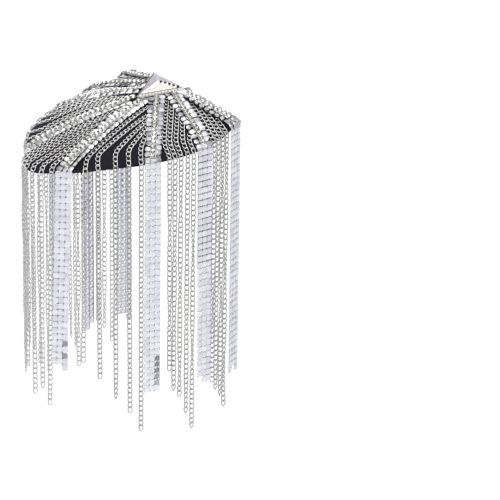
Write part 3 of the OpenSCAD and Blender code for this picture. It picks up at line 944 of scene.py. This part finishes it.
def inside(p):
    """How far a point of the paved face lies from the nearest side of the face."""
    gaps = []
    for k in range(3):
        a, b = outline[k], outline[(k + 1) % 3]
        d = unit(b - a)
        gaps.append(d[0] * (p[1] - a[1]) - d[1] * (p[0] - a[0]))
    return min(gaps)


def notch_at(k):
    return peak + ridge * (NOTCH_FROM + NOTCH_PITCH * k) + inward * NOTCH_INSET


def stone_template():
    """A low square cushion with a cut top."""
    h, t = STONE_W / 2, STONE_W / 4
    verts = [(x, y, z) for size, z in ((h, 0.0), (h, STONE_WALL), (t, STONE_TOP))
             for x, y in ((-size, -size), (size, -size), (size, size), (-size, size))]
    faces = [(8, 9, 10, 11), (3, 2, 1, 0)]
    for j in (0, 4):
        for k in range(4):
            m = (k + 1) % 4
            faces.append((j + k, j + m, j + 4 + m, j + 4 + k))
    return np.array(verts, float), faces


STONE = stone_template()
stones = Stamp()
turn_back = np.array(Matrix.Rotation(math.atan2(ridge[1], ridge[0]), 4, "Z"))
for a in range(-STONE_REACH, STONE_REACH):
    for b in range(-STONE_REACH, STONE_REACH):
        p = peak + ridge * (a + 0.5) * STONE_PITCH + inward * (b + 0.5) * STONE_PITCH
        clear = all(np.linalg.norm(p - notch_at(k) - inward * CLEAR_INSET) > CLEAR_RADIUS
                    for k in range(NOTCHES))
        if inside(p) > STONE_MARGIN * STONE_W and clear:
            m = np.eye(4)
            m[:3, 3] = (*p, GAP + PAVE_T - STONE_SUNK)
            m = turned(on_face @ m @ turn_back, "X", RNG.gauss(0, STONE_TURN))
            m = turned(m, "Y", RNG.gauss(0, STONE_TURN))
            stones.add(STONE, m)
# One more row goes over the front edge
s = EDGE_FROM
while s < outline[1][0] - EDGE_FROM:
    m = np.eye(4)
    m[:3, 3] = (s, EDGE_DOWN, EDGE_UP)
    stones.add(STONE, turned(turned(on_face @ m, "X", EDGE_TILT), "Z", RNG.gauss(0, EDGE_TURN)))
    s += STONE_PITCH
finish_piece(stones.build("pave_stones", [stone_look.mat], False), "plate_pave")

# Notches: near-black prisms by the ridge, painted shade for the dark gaps between the stones
notches = Stamp()
for k in range(NOTCHES):
    base = notch_at(k)
    rim = [base - ridge * NOTCH_W / 2, base + inward * NOTCH_DEPTH, base + ridge * NOTCH_W / 2]
    verts = [(*p, z) for z in (GAP, GAP + PAVE_T + NOTCH_PROUD) for p in rim]
    faces = [(3, 4, 5), (2, 1, 0), (0, 1, 4, 3), (1, 2, 5, 4), (2, 0, 3, 5)]
    notches.add((np.array(verts), faces), on_face)
finish_piece(notches.build("pave_notches", [notch_shade_look.mat], False), "plate_pave")

# Pin: the spring, the point and the catch
TUBE_SIDES, ANY_SIDE = 8, (0.3, 0.5, 0.8)


def swept(points, radii):
    """A tube along a line of points, with its own radius at each of them."""
    p, sides = np.array(points, float), TUBE_SIDES
    verts, faces = [], []
    side = np.cross(unit(p[1] - p[0]), ANY_SIDE)
    for i in range(len(p)):
        t = unit(p[min(i + 1, len(p) - 1)] - p[max(i - 1, 0)])
        side = unit(side - t * np.dot(side, t))
        other = np.cross(t, side)
        for k in range(sides):
            a = 360 * k / sides
            verts.append(p[i] + radii[i] * (side * cos(a) + other * sin(a)))
    for i in range(len(p) - 1):
        for k in range(sides):
            m = (k + 1) % sides
            faces.append((i * sides + k, i * sides + m, (i + 1) * sides + m, (i + 1) * sides + k))
    faces.append(tuple(range(sides - 1, -1, -1)))
    faces.append(tuple(range((len(p) - 1) * sides, len(p) * sides)))
    return np.array(verts), faces


PIN_L, PIN_T, PIN_WIRE, PIN_DROP, PIN_POST, SLOPE_STEP = 34.0, 1.2, 1.2, 3.0, 0.42, 10.0
# The spring's width, radius, full turn in degrees, points and wire, and the catch's radius and wire
COIL_W, COIL_R, COIL_TURN, COIL_STEPS, COIL_WIRE = 3.2, 1.45, 1260, 57, 0.35
CATCH_R, CATCH_WIRE, CATCH_OUT, CATCH_DOWN = 1.5, 0.45, 0.2, 0.1
# The point's wire: how far each place lies from the catch's post, and its radius there
POINT_LINE, POINT_RADII = (2.0, -1.5, -4.2), (0.62, 0.5, 0.08)
across_top = board_top((SLOPE_STEP, 0)) - board_top((-SLOPE_STEP, 0))
slope = math.degrees(math.atan(across_top / (2 * SLOPE_STEP)))
on_pin = np.array(Matrix.Translation((0, 0, -2 * GAP)) @ rotation("Y", -slope) @ rotation("X", ROLL_DEG))
wire_z = -PIN_T - PIN_DROP + PIN_WIRE / 2
post_x = PIN_POST * PIN_L
spring = [
    (post_x + COIL_R * sin(COIL_TURN * t), (t - 0.5) * COIL_W, wire_z + COIL_R * cos(COIL_TURN * t))
    for t in np.linspace(0, 1, COIL_STEPS)]
catch_x = -post_x - CATCH_OUT
catch = [(catch_x, 0, -PIN_T)] + [
    (catch_x, CATCH_R * sin(f), wire_z - CATCH_DOWN + CATCH_R * cos(f)) for f in range(0, 271, 30)]
point = [(x - post_x, 0, z) for x, z in zip(POINT_LINE, (wire_z, wire_z, wire_z - CATCH_DOWN))]
pin = Stamp()
pin.add(swept(spring, [COIL_WIRE] * len(spring)), on_pin)
pin.add(swept(catch, [CATCH_WIRE] * len(catch)), on_pin)
pin.add(swept(point, POINT_RADII), on_pin)
finish_piece(pin.build("pin_spring", [pin_look.mat]), "bar_pin")

# Floor and studio light, in metres. Each light has its place, its width and its power.
FLOOR_REACH, FLOOR_Z = 30, -1
LIT_POINT = Vector((0, 0, -0.12))
LIGHTS = {
    "back_box": ((2.05, 2.45, 1.75), 3.2, 62),
    "top_box": ((0.0, -0.3, 3.0), 2.6, 30),
    "key_box": ((-2.5, -1.2, 2.1), 2.0, 34),
    "fill_box": ((1.9, -2.3, 1.4), 2.0, 15),
}
WORLD_STRENGTH = 0.7
floor_look = Look("floor_look").set(Roughness=0.9)
floor_look.colour(floor_look.ramp(
    floor_look.noise(900, 2), [(NOISE_LOW, (0.83, 0.83, 0.83)), (NOISE_HIGH, (0.85, 0.85, 0.85))]))
mesh = bpy.data.meshes.new("floor")
corners = [(x * FLOOR_REACH, y * FLOOR_REACH, FLOOR_Z) for x, y in ((-1, -1), (1, -1), (1, 1), (-1, 1))]
mesh.from_pydata(corners, [], [(0, 1, 2, 3)])
mesh.materials.append(floor_look.mat)
floor = linked("floor", mesh)
for name, (place, size, power) in LIGHTS.items():
    data = bpy.data.lights.new(name, "AREA")
    data.shape = "DISK"
    data.size = size
    data.energy = power
    light = linked(name, data)
    light.location = place
    light.rotation_mode = "QUATERNION"
    light.rotation_quaternion = (LIT_POINT - Vector(place)).to_track_quat("-Z", "Y")
world = bpy.data.worlds.new("studio")
world.use_nodes = True
world.node_tree.nodes["Background"].inputs["Color"].default_value = (1, 1, 1, 1)
world.node_tree.nodes["Background"].inputs["Strength"].default_value = WORLD_STRENGTH
bpy.context.scene.world = world
bpy.context.scene.view_settings.view_transform = "Standard"
